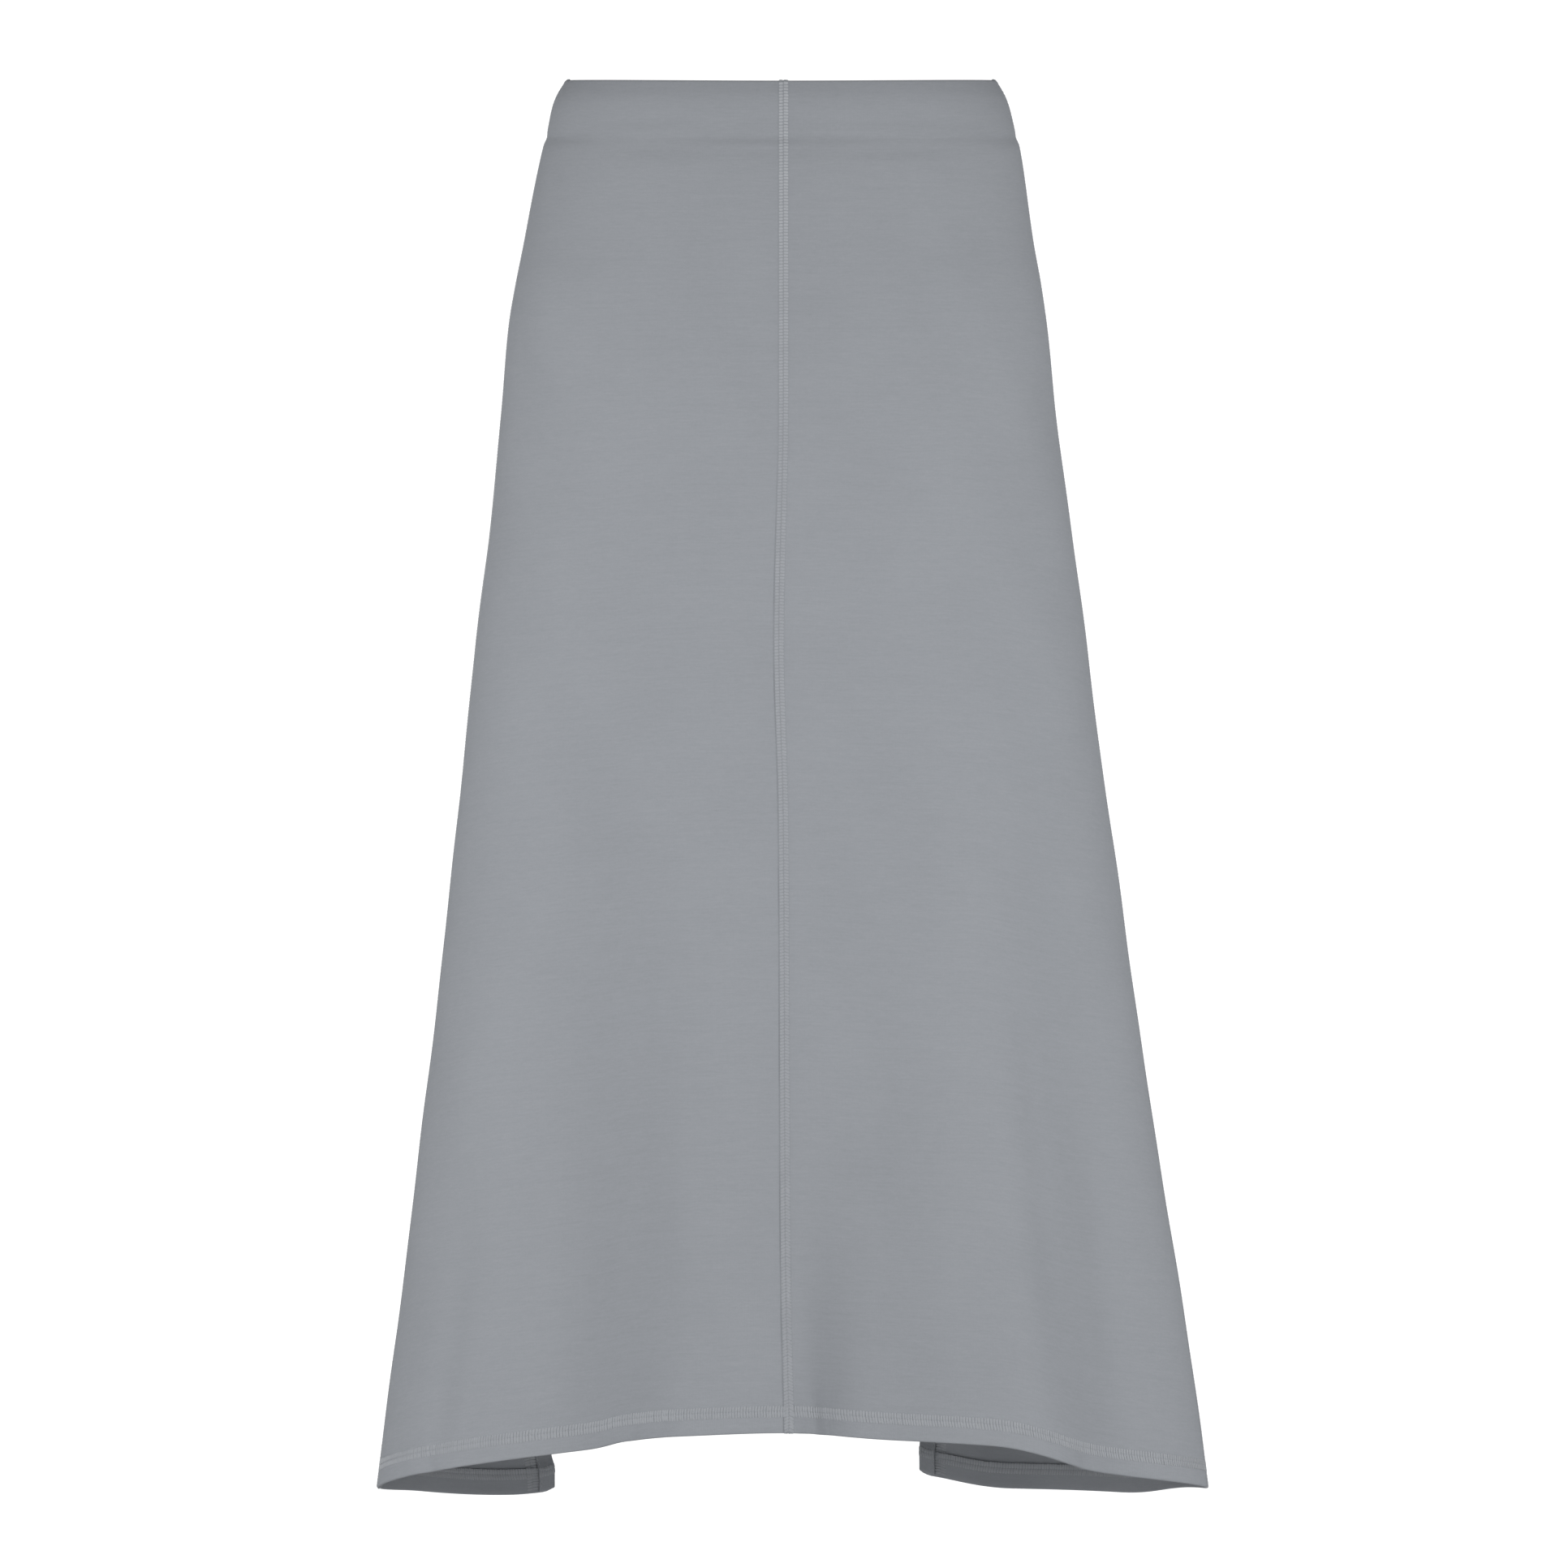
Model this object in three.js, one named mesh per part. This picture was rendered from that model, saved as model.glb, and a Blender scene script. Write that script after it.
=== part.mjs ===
import * as THREE from 'three';

// A hollow A-line midi skirt in jersey, in the form it has when it is worn.
// Millimetres, +Z up. The front looks along -Y and +X is its right in a front view.
// The origin is the middle of the waist opening, where the skirt is held.

// Cloth, edges and seams
const clothWall = 1.5;
const doubleWall = 3.0;          // where an edge is turned in and the cloth lies double
const hemTurnUp = 15;
const ventTurnIn = 10;
const stepWidth = 0.4;           // the raw edge of a turned-in strip, seen as a step
const seamGap = 0.3;
const elasticWall = 2.2;
const elasticHeight = 33;
const elasticInset = 1;          // how far its upper edge lies below the fold at the waist

// The waist opening leans forwards: its front edge lies lower than its back edge
const frontWaistLean = 0.125;
const backWaistLean = 0.1;

// Sections of the skirt, by their distance below the waist edge. The half widths and the
// depths are measured from the axis, and a larger squareness gives fuller corners.
const sections = [
  { down: 0, left: 125, right: 122.5, front: 88, back: 88, square: 2.1 },
  { down: 16, left: 131, right: 128.3, front: 90, back: 91, square: 2.1 },
  { down: 32, left: 134.3, right: 132.2, front: 91, back: 94, square: 2.1 },
  { down: 38, left: 136, right: 134, front: 93.5, back: 97, square: 2.1 },
  { down: 94, left: 147.5, right: 142, front: 99, back: 112, square: 2.15 },
  { down: 117, left: 152, right: 146.3, front: 101, back: 118.5, square: 2.2 },
  { down: 140, left: 155.5, right: 149.6, front: 103, back: 123, square: 2.2 },
  { down: 190, left: 160, right: 154.5, front: 106, back: 129, square: 2.2 },
  { down: 260, left: 166.5, right: 163.5, front: 108, back: 132.5, square: 2.2 },
  { down: 324, left: 175, right: 172, front: 109, back: 136, square: 2.2 },
  { down: 416, left: 183.5, right: 184, front: 111, back: 142, square: 2.2 },
  { down: 600, left: 204.7, right: 210, front: 115, back: 162, square: 2.2 },
  { down: 700, left: 216.8, right: 225.5, front: 118, back: 176, square: 2.2 },
  { down: 800, left: 230, right: 240, front: 120, back: 190, square: 2.2 },
  { down: 825, left: 232, right: 243.5, front: 121, back: 194, square: 2.2 },
];

// Height of the hem below the origin, by the turn from the centre front in degrees.
// It arches up over the front and hangs almost level at the back.
const hemLine = [
  { turn: -180, drop: 806 },
  { turn: -141, drop: 807.5 },
  { turn: -133, drop: 809 },
  { turn: -112, drop: 804 },
  { turn: -90, drop: 799 },
  { turn: -69, drop: 786 },
  { turn: -51, drop: 775.8 },
  { turn: -45, drop: 773 },
  { turn: -39, drop: 769 },
  { turn: -27, drop: 766 },
  { turn: 0, drop: 764 },
  { turn: 24, drop: 767.5 },
  { turn: 47, drop: 771.5 },
  { turn: 66, drop: 787.5 },
  { turn: 90, drop: 799 },
  { turn: 102, drop: 800.5 },
  { turn: 122, drop: 806.5 },
  { turn: 141, drop: 806 },
  { turn: 156, drop: 799.5 },
  { turn: 180, drop: 797 },
];

// The front seam wavers a little to each side, and so does the back seam above the vent
const frontSeamLine = [
  { down: 0, x: 0 },
  { down: 190, x: 0 },
  { down: 335, x: -2.5 },
  { down: 440, x: 0 },
  { down: 700, x: 1.2 },
  { down: 790, x: 3 },
];
const backSeamLine = [
  { down: 0, x: 0 },
  { down: 250, x: 1.5 },
  { down: 440, x: -4 },
];

// How far each side seam lies in front of the widest line
const sideSeamLines = [
  { down: 0, left: 2, right: 0 },
  { down: 180, left: 12, right: 2 },
  { down: 330, left: 14, right: 4 },
  { down: 430, left: 8, right: 6 },
  { down: 600, left: 2, right: 10 },
  { down: 800, left: 0, right: 20 },
];

// The vent in the centre back stands open: its edges part like an arch from its top down,
// and hang upright at the hem
const ventTop = 440;
const ventNarrowing = 1.15;      // more keeps the top of the arch narrow for longer
const ventLeftAtHem = -135;
const ventRightAtHem = 80;

// Soft folds that hang towards the hem. Each runs from one turn in degrees to another,
// begins at start and is fully grown at the hem. A negative depth is a trough.
const folds = [
  { fromTurn: -66, toTurn: -63, start: 250, width: 46, depth: 3.5 },
  { fromTurn: -50, toTurn: -46, start: 230, width: 30, depth: -6.5 },
  { fromTurn: -26, toTurn: -21, start: 300, width: 30, depth: 4 },
  { fromTurn: 13, toTurn: 13.5, start: 560, width: 15, depth: -6.5 },
  { fromTurn: 36, toTurn: 37, start: 300, width: 26, depth: -2.5 },
  { fromTurn: 49, toTurn: 53, start: 280, width: 28, depth: 4 },
  { fromTurn: 60, toTurn: 66, start: 330, width: 24, depth: -6.5 },
  { fromTurn: 78, toTurn: 80, start: 420, width: 30, depth: 3 },
  { fromTurn: 104, toTurn: 108, start: 330, width: 36, depth: -5 },
  { fromTurn: 128, toTurn: 131, start: 300, width: 38, depth: 5 },
  { fromTurn: 150, toTurn: 146, start: 430, width: 26, depth: -4 },
  { fromTurn: -104, toTurn: -103, start: 360, width: 34, depth: -4.5 },
  { fromTurn: -124, toTurn: -122, start: 280, width: 40, depth: 6 },
  { fromTurn: -146, toTurn: -138, start: 420, width: 24, depth: -3.5 },
];

// How finely the surfaces are divided
const columnsAcross = 20;        // along a panel, beside the two of a turned-in edge
const rowsInMiddle = 22;
const nominalLength = 799;       // down the side seams
const arcSteps = 60;

const degree = Math.PI / 180;

// Gives a smooth function through the rows of a table that never overshoots them
function smoothColumn(rows, key, value) {
  const count = rows.length;
  const slopes = [];
  for (let i = 0; i < count - 1; i++) {
    slopes.push((rows[i + 1][value] - rows[i][value]) / (rows[i + 1][key] - rows[i][key]));
  }
  const tangents = rows.map((row, i) => {
    if (i === 0) return slopes[0];
    if (i === count - 1) return slopes[count - 2];
    const before = slopes[i - 1];
    const after = slopes[i];
    return before * after <= 0 ? 0 : (2 * before * after) / (before + after);
  });
  return (at) => {
    const clamped = Math.min(Math.max(at, rows[0][key]), rows[count - 1][key]);
    let i = 0;
    while (i < count - 2 && clamped > rows[i + 1][key]) i++;
    const span = rows[i + 1][key] - rows[i][key];
    const t = (clamped - rows[i][key]) / span;
    const rise = rows[i + 1][value] - rows[i][value];
    const bendIn = span * tangents[i] - rise;
    const bendOut = rise - span * tangents[i + 1];
    return rows[i][value] + rise * t + t * (1 - t) * (bendIn * (1 - t) + bendOut * t);
  };
}

const halfLeft = smoothColumn(sections, 'down', 'left');
const halfRight = smoothColumn(sections, 'down', 'right');
const depthFront = smoothColumn(sections, 'down', 'front');
const depthBack = smoothColumn(sections, 'down', 'back');
const squareness = smoothColumn(sections, 'down', 'square');
const hemDrop = smoothColumn(hemLine, 'turn', 'drop');
const frontSeamX = smoothColumn(frontSeamLine, 'down', 'x');
const backSeamX = smoothColumn(backSeamLine, 'down', 'x');
const leftSeamLead = smoothColumn(sideSeamLines, 'down', 'left');
const rightSeamLead = smoothColumn(sideSeamLines, 'down', 'right');

// Brings a turn into the half circle to each side of the centre front
function wrapTurn(turn) {
  return turn - 2 * Math.PI * Math.round(turn / (2 * Math.PI));
}

// Distance of the plain skirt from its axis, without folds
function plainRadius(turn, down) {
  const sideways = Math.sin(turn);
  const ahead = Math.cos(turn);
  const half = sideways < 0 ? halfLeft(down) : halfRight(down);
  const depth = ahead > 0 ? depthFront(down) : depthBack(down);
  const power = squareness(down);
  const sum = Math.abs(sideways / half) ** power + Math.abs(ahead / depth) ** power;
  return sum ** (-1 / power);
}

// Height of the waist edge, which leans forwards
function waistHeight(turn) {
  const ahead = Math.cos(turn);
  const lean = THREE.MathUtils.lerp(backWaistLean, frontWaistLean, (1 + ahead) / 2);
  return -lean * plainRadius(turn, 0) * ahead;
}

// Length of the cloth's fall from the waist edge to the hem
function fallAt(turn) {
  return waistHeight(turn) + hemDrop(wrapTurn(turn) / degree);
}

function foldOffset(turn, down) {
  const fall = fallAt(turn);
  let offset = 0;
  for (const fold of folds) {
    const grown = THREE.MathUtils.smoothstep(down, fold.start, fall);
    if (grown <= 0) continue;
    const along = Math.min((down - fold.start) / (fall - fold.start), 1);
    const centre = THREE.MathUtils.lerp(fold.fromTurn, fold.toTurn, along) * degree;
    const away = wrapTurn(turn - centre) * plainRadius(turn, down);
    offset += fold.depth * grown * Math.exp(-((away / fold.width) ** 2));
  }
  return offset;
}

// A point of the outer face of the cloth
function clothPoint(turn, down) {
  const radius = plainRadius(turn, down) + foldOffset(turn, down);
  return new THREE.Vector3(
    radius * Math.sin(turn),
    -radius * Math.cos(turn),
    waistHeight(turn) - down,
  );
}

// A point inside the cloth, at a depth measured square to its face
function pointBelowFace(turn, down, depth) {
  const turnStep = 0.004;
  const downStep = 1;
  const across = clothPoint(turn + turnStep, down).sub(clothPoint(turn - turnStep, down));
  const along = clothPoint(turn, down + downStep).sub(clothPoint(turn, down - downStep));
  const outward = along.cross(across).normalize();
  return clothPoint(turn, down).addScaledVector(outward, -depth);
}

// The turn at which a section reaches x, on its front or its back half
function turnAtX(x, down, onBack) {
  let low = onBack ? Math.PI / 2 : 0;
  let high = onBack ? Math.PI : Math.PI / 2;
  for (let i = 0; i < 40; i++) {
    const middle = (low + high) / 2;
    const sideways = plainRadius(middle * Math.sign(x || 1), down) * Math.sin(middle);
    const tooWide = sideways > Math.abs(x);
    if (tooWide === onBack) low = middle;
    else high = middle;
  }
  return ((low + high) / 2) * Math.sign(x || 1);
}

// The lines where the panels meet, each as the turn at a distance below the waist
function frontSeam(down) {
  return turnAtX(frontSeamX(down), down, false);
}
function leftSeam(down) {
  return -Math.PI / 2 + leftSeamLead(down) / halfLeft(down);
}
function rightSeam(down) {
  return Math.PI / 2 - rightSeamLead(down) / halfRight(down);
}
function backEdge(down, xAtHem) {
  const opened = THREE.MathUtils.clamp((down - ventTop) / (nominalLength - ventTop), 0, 1);
  const shared = backSeamX(Math.min(down, ventTop));
  const spread = Math.sin((opened * Math.PI) / 2) ** ventNarrowing;
  const x = THREE.MathUtils.lerp(shared, xAtHem, spread);
  return turnAtX(x, down, true);
}

// The turn of the right back edge runs up to 180 degrees and past it, that of the left back
// edge from -180 degrees upwards, so that each panel's turns rise from edge to edge
function backRightEdge(down) {
  const turn = backEdge(down, ventRightAtHem);
  return turn < 0 ? turn + 2 * Math.PI : turn;
}
function backLeftEdge(down) {
  const turn = backEdge(down, ventLeftAtHem);
  return turn > 0 ? turn - 2 * Math.PI : turn;
}

const panels = [
  { name: 'front_left', from: leftSeam, to: frontSeam, ventSide: 'none' },
  { name: 'front_right', from: frontSeam, to: rightSeam, ventSide: 'none' },
  { name: 'back_right', from: rightSeam, to: backRightEdge, ventSide: 'to' },
  { name: 'back_left', from: backLeftEdge, to: leftSeam, ventSide: 'from' },
];

// The rows of a panel, from the waist down. Those near the waist and the hem keep their
// distance in millimetres, and those between share what is left of the fall.
const topRows = [0, 16, elasticHeight, 40];
const hemRows = [hemTurnUp + stepWidth, hemTurnUp, 0];
const rowList = [];
topRows.forEach((mm) => rowList.push(() => mm));
for (let i = 1; i < rowsInMiddle; i++) {
  const share = i / rowsInMiddle;
  const top = topRows[topRows.length - 1];
  rowList.push((fall) => top + share * (fall - hemRows[0] - top));
}
hemRows.forEach((mm) => rowList.push((fall) => fall - mm));

// The columns of a panel in one row, as turns and as distances from the vent's edge.
// They are evenly spaced along the cloth, but for the two at a turned-in edge.
function rowColumns(panel, down) {
  const from = panel.from(down);
  const to = panel.to(down);
  const lengths = [0];
  let last = null;
  for (let i = 0; i <= arcSteps; i++) {
    const turn = THREE.MathUtils.lerp(from, to, i / arcSteps);
    const radius = plainRadius(turn, down);
    const point = new THREE.Vector2(radius * Math.sin(turn), radius * Math.cos(turn));
    if (last) lengths.push(lengths[i - 1] + point.distanceTo(last));
    last = point;
  }
  const total = lengths[arcSteps];
  const turnAtLength = (length) => {
    let i = 0;
    while (i < arcSteps - 1 && lengths[i + 1] < length) i++;
    const share = (length - lengths[i]) / (lengths[i + 1] - lengths[i]);
    return THREE.MathUtils.lerp(from, to, (i + share) / arcSteps);
  };
  const edge = seamGap / 2;
  const stops = [];
  const plainEnd = panel.ventSide === 'none' ? total - edge : total - edge - ventTurnIn - stepWidth;
  for (let i = 0; i <= columnsAcross; i++) {
    stops.push(THREE.MathUtils.lerp(edge, plainEnd, i / columnsAcross));
  }
  if (panel.ventSide !== 'none') {
    stops.push(total - edge - ventTurnIn);
    stops.push(total - edge);
  }
  const placed = panel.ventSide === 'from' ? stops.map((stop) => total - stop).reverse() : stops;
  return placed.map((stop) => {
    const toEdge = panel.ventSide === 'from' ? stop - edge : total - edge - stop;
    return { turn: turnAtLength(stop), toEdge };
  });
}

// The cloth lies double in the hem's turn-up and along the open vent
function wallAt(panel, column, down, fall) {
  const tolerance = 0.01;
  const inHem = fall - down <= hemTurnUp + tolerance;
  const besideVent = panel.ventSide !== 'none' && column.toEdge <= ventTurnIn + tolerance;
  return inHem || (besideVent && down > ventTop) ? doubleWall : clothWall;
}

// Joins a grid of outer points and one of inner points into one closed wall
function wallGeometry(outer, inner, closedRound) {
  const rows = outer.length;
  const columns = outer[0].length;
  const positions = [];
  const triangles = [];
  for (const face of [outer, inner]) {
    for (const row of face) {
      for (const point of row) positions.push(point.x, point.y, point.z);
    }
  }
  const at = (side, row, column) => side * rows * columns + row * columns + (column % columns);
  const quad = (a, b, c, d) => triangles.push(a, b, c, a, c, d);
  const lastColumn = closedRound ? columns : columns - 1;
  for (let r = 0; r < rows - 1; r++) {
    for (let c = 0; c < lastColumn; c++) {
      quad(at(0, r, c), at(0, r + 1, c), at(0, r + 1, c + 1), at(0, r, c + 1));
      quad(at(1, r, c), at(1, r, c + 1), at(1, r + 1, c + 1), at(1, r + 1, c));
    }
    if (!closedRound) {
      quad(at(0, r, 0), at(1, r, 0), at(1, r + 1, 0), at(0, r + 1, 0));
      quad(at(0, r, columns - 1), at(0, r + 1, columns - 1), at(1, r + 1, columns - 1), at(1, r, columns - 1));
    }
  }
  for (let c = 0; c < lastColumn; c++) {
    quad(at(0, 0, c), at(0, 0, c + 1), at(1, 0, c + 1), at(1, 0, c));
    quad(at(0, rows - 1, c), at(1, rows - 1, c), at(1, rows - 1, c + 1), at(0, rows - 1, c + 1));
  }
  const geometry = new THREE.BufferGeometry();
  geometry.setAttribute('position', new THREE.Float32BufferAttribute(positions, 3));
  geometry.setIndex(triangles);
  geometry.computeVertexNormals();
  return geometry;
}

const jersey = new THREE.MeshStandardMaterial({ color: 0x8f9499, roughness: 0.95, metalness: 0 });
const elasticCloth = new THREE.MeshStandardMaterial({ color: 0x868b90, roughness: 0.95, metalness: 0 });

function buildPanel(panel) {
  const outer = [];
  const inner = [];
  for (const downOf of rowList) {
    const outerRow = [];
    const innerRow = [];
    for (const column of rowColumns(panel, downOf(nominalLength))) {
      const fall = fallAt(column.turn);
      const down = downOf(fall);
      outerRow.push(clothPoint(column.turn, down));
      innerRow.push(pointBelowFace(column.turn, down, wallAt(panel, column, down, fall)));
    }
    outer.push(outerRow);
    inner.push(innerRow);
  }
  const mesh = new THREE.Mesh(wallGeometry(outer, inner, false), jersey);
  mesh.name = panel.name;
  return mesh;
}

// The flat elastic that lies inside the turned-in upper edge, all round the waist
function buildElastic() {
  const outer = [];
  const inner = [];
  for (const down of [elasticInset, elasticHeight / 2, elasticHeight]) {
    const outerRow = [];
    const innerRow = [];
    for (const panel of panels) {
      for (const column of rowColumns(panel, down).slice(0, -1)) {
        const depth = clothWall + seamGap;
        outerRow.push(pointBelowFace(column.turn, down, depth));
        innerRow.push(pointBelowFace(column.turn, down, depth + elasticWall));
      }
    }
    outer.push(outerRow);
    inner.push(innerRow);
  }
  const mesh = new THREE.Mesh(wallGeometry(outer, inner, true), elasticCloth);
  mesh.name = 'waist_elastic';
  return mesh;
}

const skirt = new THREE.Group();
panels.forEach((panel) => skirt.add(buildPanel(panel)));
skirt.add(buildElastic());

export default skirt;
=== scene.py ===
import math

import bpy
import numpy as np
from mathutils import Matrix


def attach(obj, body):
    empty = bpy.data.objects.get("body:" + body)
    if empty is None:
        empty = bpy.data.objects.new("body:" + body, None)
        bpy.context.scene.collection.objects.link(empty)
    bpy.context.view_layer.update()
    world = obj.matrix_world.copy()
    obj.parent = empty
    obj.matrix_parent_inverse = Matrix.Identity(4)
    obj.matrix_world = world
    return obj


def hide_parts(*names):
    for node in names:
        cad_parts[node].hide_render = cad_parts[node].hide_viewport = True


# A hollow A-line midi skirt in matte jersey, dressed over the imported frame. Its form is
# worked out in millimetres, as in the frame, and each mesh turns that into metres.

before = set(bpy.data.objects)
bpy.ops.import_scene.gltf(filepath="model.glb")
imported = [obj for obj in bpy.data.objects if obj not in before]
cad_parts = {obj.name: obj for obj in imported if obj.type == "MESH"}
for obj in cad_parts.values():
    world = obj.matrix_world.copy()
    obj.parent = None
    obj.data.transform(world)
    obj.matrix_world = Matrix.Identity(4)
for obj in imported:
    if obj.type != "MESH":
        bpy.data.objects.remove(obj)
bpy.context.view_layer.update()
bpy.ops.object.select_all(action="DESELECT")
print("frame loaded:", sorted(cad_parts))

metre = 0.001
degree = math.pi / 180
chance = np.random.default_rng(7)

# The form of the skirt

shape = {
    "frontWaistLean": 0.125,  # the waist opening leans forwards
    "backWaistLean": 0.1,
    "nominalLength": 799,  # down the side seams
    "seamGap": 0.3,
    "ventTop": 440,
    "ventFoldTop": 436,  # where its edges start to be folded back
    "ventFoldRun": 0.5,
    "ventNarrowing": 1.15,
    "ventLeftAtHem": -135,
    "ventRightAtHem": 80,
}

length = shape["nominalLength"]
edge = shape["seamGap"] / 2  # where a panel's cloth starts beside a seam

# Sections of the skirt by their distance below the waist edge
sections = {
    "down": [0, 16, 32, 38, 94, 117, 140, 190, 260, 324, 416, 600, 700, 800, 825],
    "left": [125, 131, 134.3, 136, 147.5, 152, 155.5, 160, 166.5, 175, 183.5, 204.7, 216.8, 230, 232],
    "right": [122.5, 128.3, 132.2, 134, 142, 146.3, 149.6, 154.5, 163.5, 172, 184, 210, 225.5, 240, 243.5],
    "front": [88, 90, 91, 93.5, 99, 101, 103, 106, 108, 109, 111, 115, 118, 120, 121],
    "back": [88, 91, 94, 97, 112, 118.5, 123, 129, 132.5, 136, 142, 162, 176, 190, 194],
    "square": [2.1, 2.1, 2.1, 2.1, 2.15, 2.2, 2.2, 2.2, 2.2, 2.2, 2.2, 2.2, 2.2, 2.2, 2.2],
}

# Height of the hem below the origin, by the turn from the centre front in degrees
hemLine = {
    "turn": [-180, -141, -133, -112, -90, -69, -51, -45, -39, -27,
             0, 24, 47, 66, 90, 102, 122, 141, 156, 180],
    "drop": [806, 807.5, 809, 804, 799, 786, 775.8, 773, 769, 766,
             764, 767.5, 771.5, 787.5, 799, 800.5, 806.5, 806, 799.5, 797],
}

# The seams, by their distance below the waist: the front and back ones waver in x, and the
# side seams lie in front of the widest line
frontSeamLine = {"down": [0, 190, 335, 440, 700, 790], "x": [0, 0, -2.5, 0, 1.2, 3]}
backSeamLine = {"down": [0, 250, 440], "x": [0, 1.5, -4]}
sideSeamLines = {
    "down": [0, 180, 330, 430, 600, 800],
    "left": [2, 12, 14, 8, 2, 0],
    "right": [0, 2, 4, 6, 10, 20],
}

# Soft folds that grow towards the hem: the turn where one starts and the turn at the hem, how
# far down it starts, its width and its depth, which is negative in a trough
folds = [
    (-66, -63, 250, 46, 3.5),
    (-50, -46, 230, 30, -6.5),
    (-26, -21, 300, 30, 4),
    (13, 13.5, 560, 15, -6.5),
    (36, 37, 300, 26, -2.5),
    (49, 53, 280, 28, 4),
    (60, 66, 330, 24, -6.5),
    (78, 80, 420, 30, 3),
    (104, 108, 330, 36, -5),
    (128, 131, 300, 38, 5),
    (150, 146, 430, 26, -4),
    (-104, -103, 360, 34, -4.5),
    (-124, -122, 280, 40, 6),
    (-146, -138, 420, 24, -3.5),
]

# Small creases: the turns of both ends, their distances down, the width and the depth
creases = [
    # The slanting one across the front seam, and the puckers that the elastic draws
    (-6.5, 8.5, 352, 424, 6, -0.7),
    (-3.5, 10, 350, 425, 8, 0.45),
    (-22, 11, 32.5, 32.5, 2.4, -0.2),
    (-26, 26, 30.5, 30.5, 4.5, 0.45),
    (-26, 26, 39.5, 39.5, 4.5, -0.4),
    (-17, 1, 41.5, 40.5, 1.8, -0.35),
    (2, 78, 30.5, 30.5, 4.5, 0.75),
    (-78, -2, 30.5, 30.5, 4.5, 0.75),
    (6, 74, 39.5, 39.5, 4.5, -0.7),
    (-74, -10, 39.5, 39.5, 4.5, -0.7),
    (-100, -62, 33, 34.5, 2.8, -0.9),
    (62, 100, 35, 33, 2.8, -0.9),
    (-160, -118, 37, 36, 3, -0.4),
    (116, 168, 36, 38, 3, -0.4),
    # Soft drag lines over the hip, and long shallow waves below it
    (-84, -62, 128, 182, 9, -0.5),
    (66, 86, 196, 150, 10, -0.5),
    (-128, -96, 206, 158, 12, -0.7),
    (98, 136, 150, 214, 12, -0.7),
    (-36, -35, 440, 775, 9, -1.1),
    (-31, -29, 500, 780, 8, -1.2),
    (-23, -19, 480, 880, 16, -1.9),
    (-34, -32, 440, 900, 20, -2.0),
    (13, 13.5, 640, 860, 12, -1.8),
    (62, 66, 480, 840, 16, 1.6),
    (20, 22.5, 560, 775, 9, -0.9),
    (30, 29, 420, 740, 10, -0.7),
    (55, 60, 470, 785, 8, -1.1),
    (66, 69, 560, 790, 7, -0.7),
    (-56, -55, 480, 775, 12, 0.7),
    (-67, -71, 600, 860, 10, -1.6),
    # Puckers in the hem, where the front seam and a fold run into it
    (3.6, 7.6, 722, 774, 4.4, -1.9),
    (10.6, 13.4, 722, 776, 4.6, -1.7),
    (7.0, 10.6, 730, 768, 4, 0.8),
    (17.5, 19.5, 728, 770, 4.6, -0.8),
    (-31, -29, 738, 772, 4, -1.0),
    (-38, -37, 742, 776, 4, -0.9),
    (-72, -70, 765, 800, 4.4, -1.4),
    (62, 64, 758, 794, 4.4, -1.1),
    # Shallow waves round the back
    (118, 121, 560, 800, 10, -0.9),
    (-113, -110, 540, 800, 10, -0.9),
    (158, 163, 520, 640, 9, -0.8),
    (-158, -151, 500, 690, 9, -0.8),
]

# The roll of the cloth over the edge of the elastic
waistRoll = {"depth": 1.7, "reach": 6.5}

# Slow unevenness of the hanging cloth, below the waist: lengths of each wave across and down,
# its phase and its height
waves = {"radius": 120, "from": 30, "full": 120}
unevenness = [
    (96, 210, 0.4, 0.22),
    (-61, 152, 2.1, 0.16),
    (43, -118, 4.4, 0.09),
    (210, 74, 1.2, 0.10),
]

# How the painted fold shade follows the folds: the step that it looks sideways, how much of the painted
# shade comes from a hollow and from a side that turns away from the front light, and its range
foldShadeLook = {"step": 2.0, "hollow": 0.11, "away": 2.6, "turned": 0.6, "lowest": -0.25}

# The cloth and its turned-in edges
cloth = {
    "thickness": 0.9,
    "facingEnd": 34,  # raw edge of the strip that is turned in over the elastic
    "waistCentre": 1.55,  # of the fold over the elastic, below the edge and below the face
    "waistRadius": 1.1,
    "hemCentre": 0.95,
    "hemRadius": 0.5,
    "hemTurnUp": 15,
    "turnUpStep": (2, 5),  # how far below and above its raw edge the vent's fold takes the step
    "ventTurnIn": 10,
    "ventFold": 0.95,  # depth of the fold's centre where the cloth is single
    "ventFoldAtHem": 2.0,  # and where the hem is turned up below it
    "keptAtTop": 40,
    "keptAtHem": 15.4,
    "grid": 4.2,  # distance between the rows of its mesh
    "columnGrid": 2.5,
    "fineGrid": 2.2,  # and near the waist
    "smoothAngle": 50,
}
halfCloth = cloth["thickness"] / 2


def smoothCurve(table, key, value):
    # A smooth function through the rows of a table, which never overshoots them
    x = np.array(table[key], float)
    y = np.array(table[value], float)
    slope = np.diff(y) / np.diff(x)
    before, after = slope[:-1], slope[1:]
    turns = before * after <= 0
    inner = np.where(turns, 0, 2 * before * after / np.where(turns, 1, before + after))
    tangent = np.concatenate([slope[:1], inner, slope[-1:]])

    def at(where):
        where = np.clip(where, x[0], x[-1])
        i = np.clip(np.searchsorted(x, where) - 1, 0, len(x) - 2)
        span = x[i + 1] - x[i]
        t = (where - x[i]) / span
        rise = y[i + 1] - y[i]
        bendIn = span * tangent[i] - rise
        bendOut = rise - span * tangent[i + 1]
        return y[i] + rise * t + t * (1 - t) * (bendIn * (1 - t) + bendOut * t)

    return at


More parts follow.
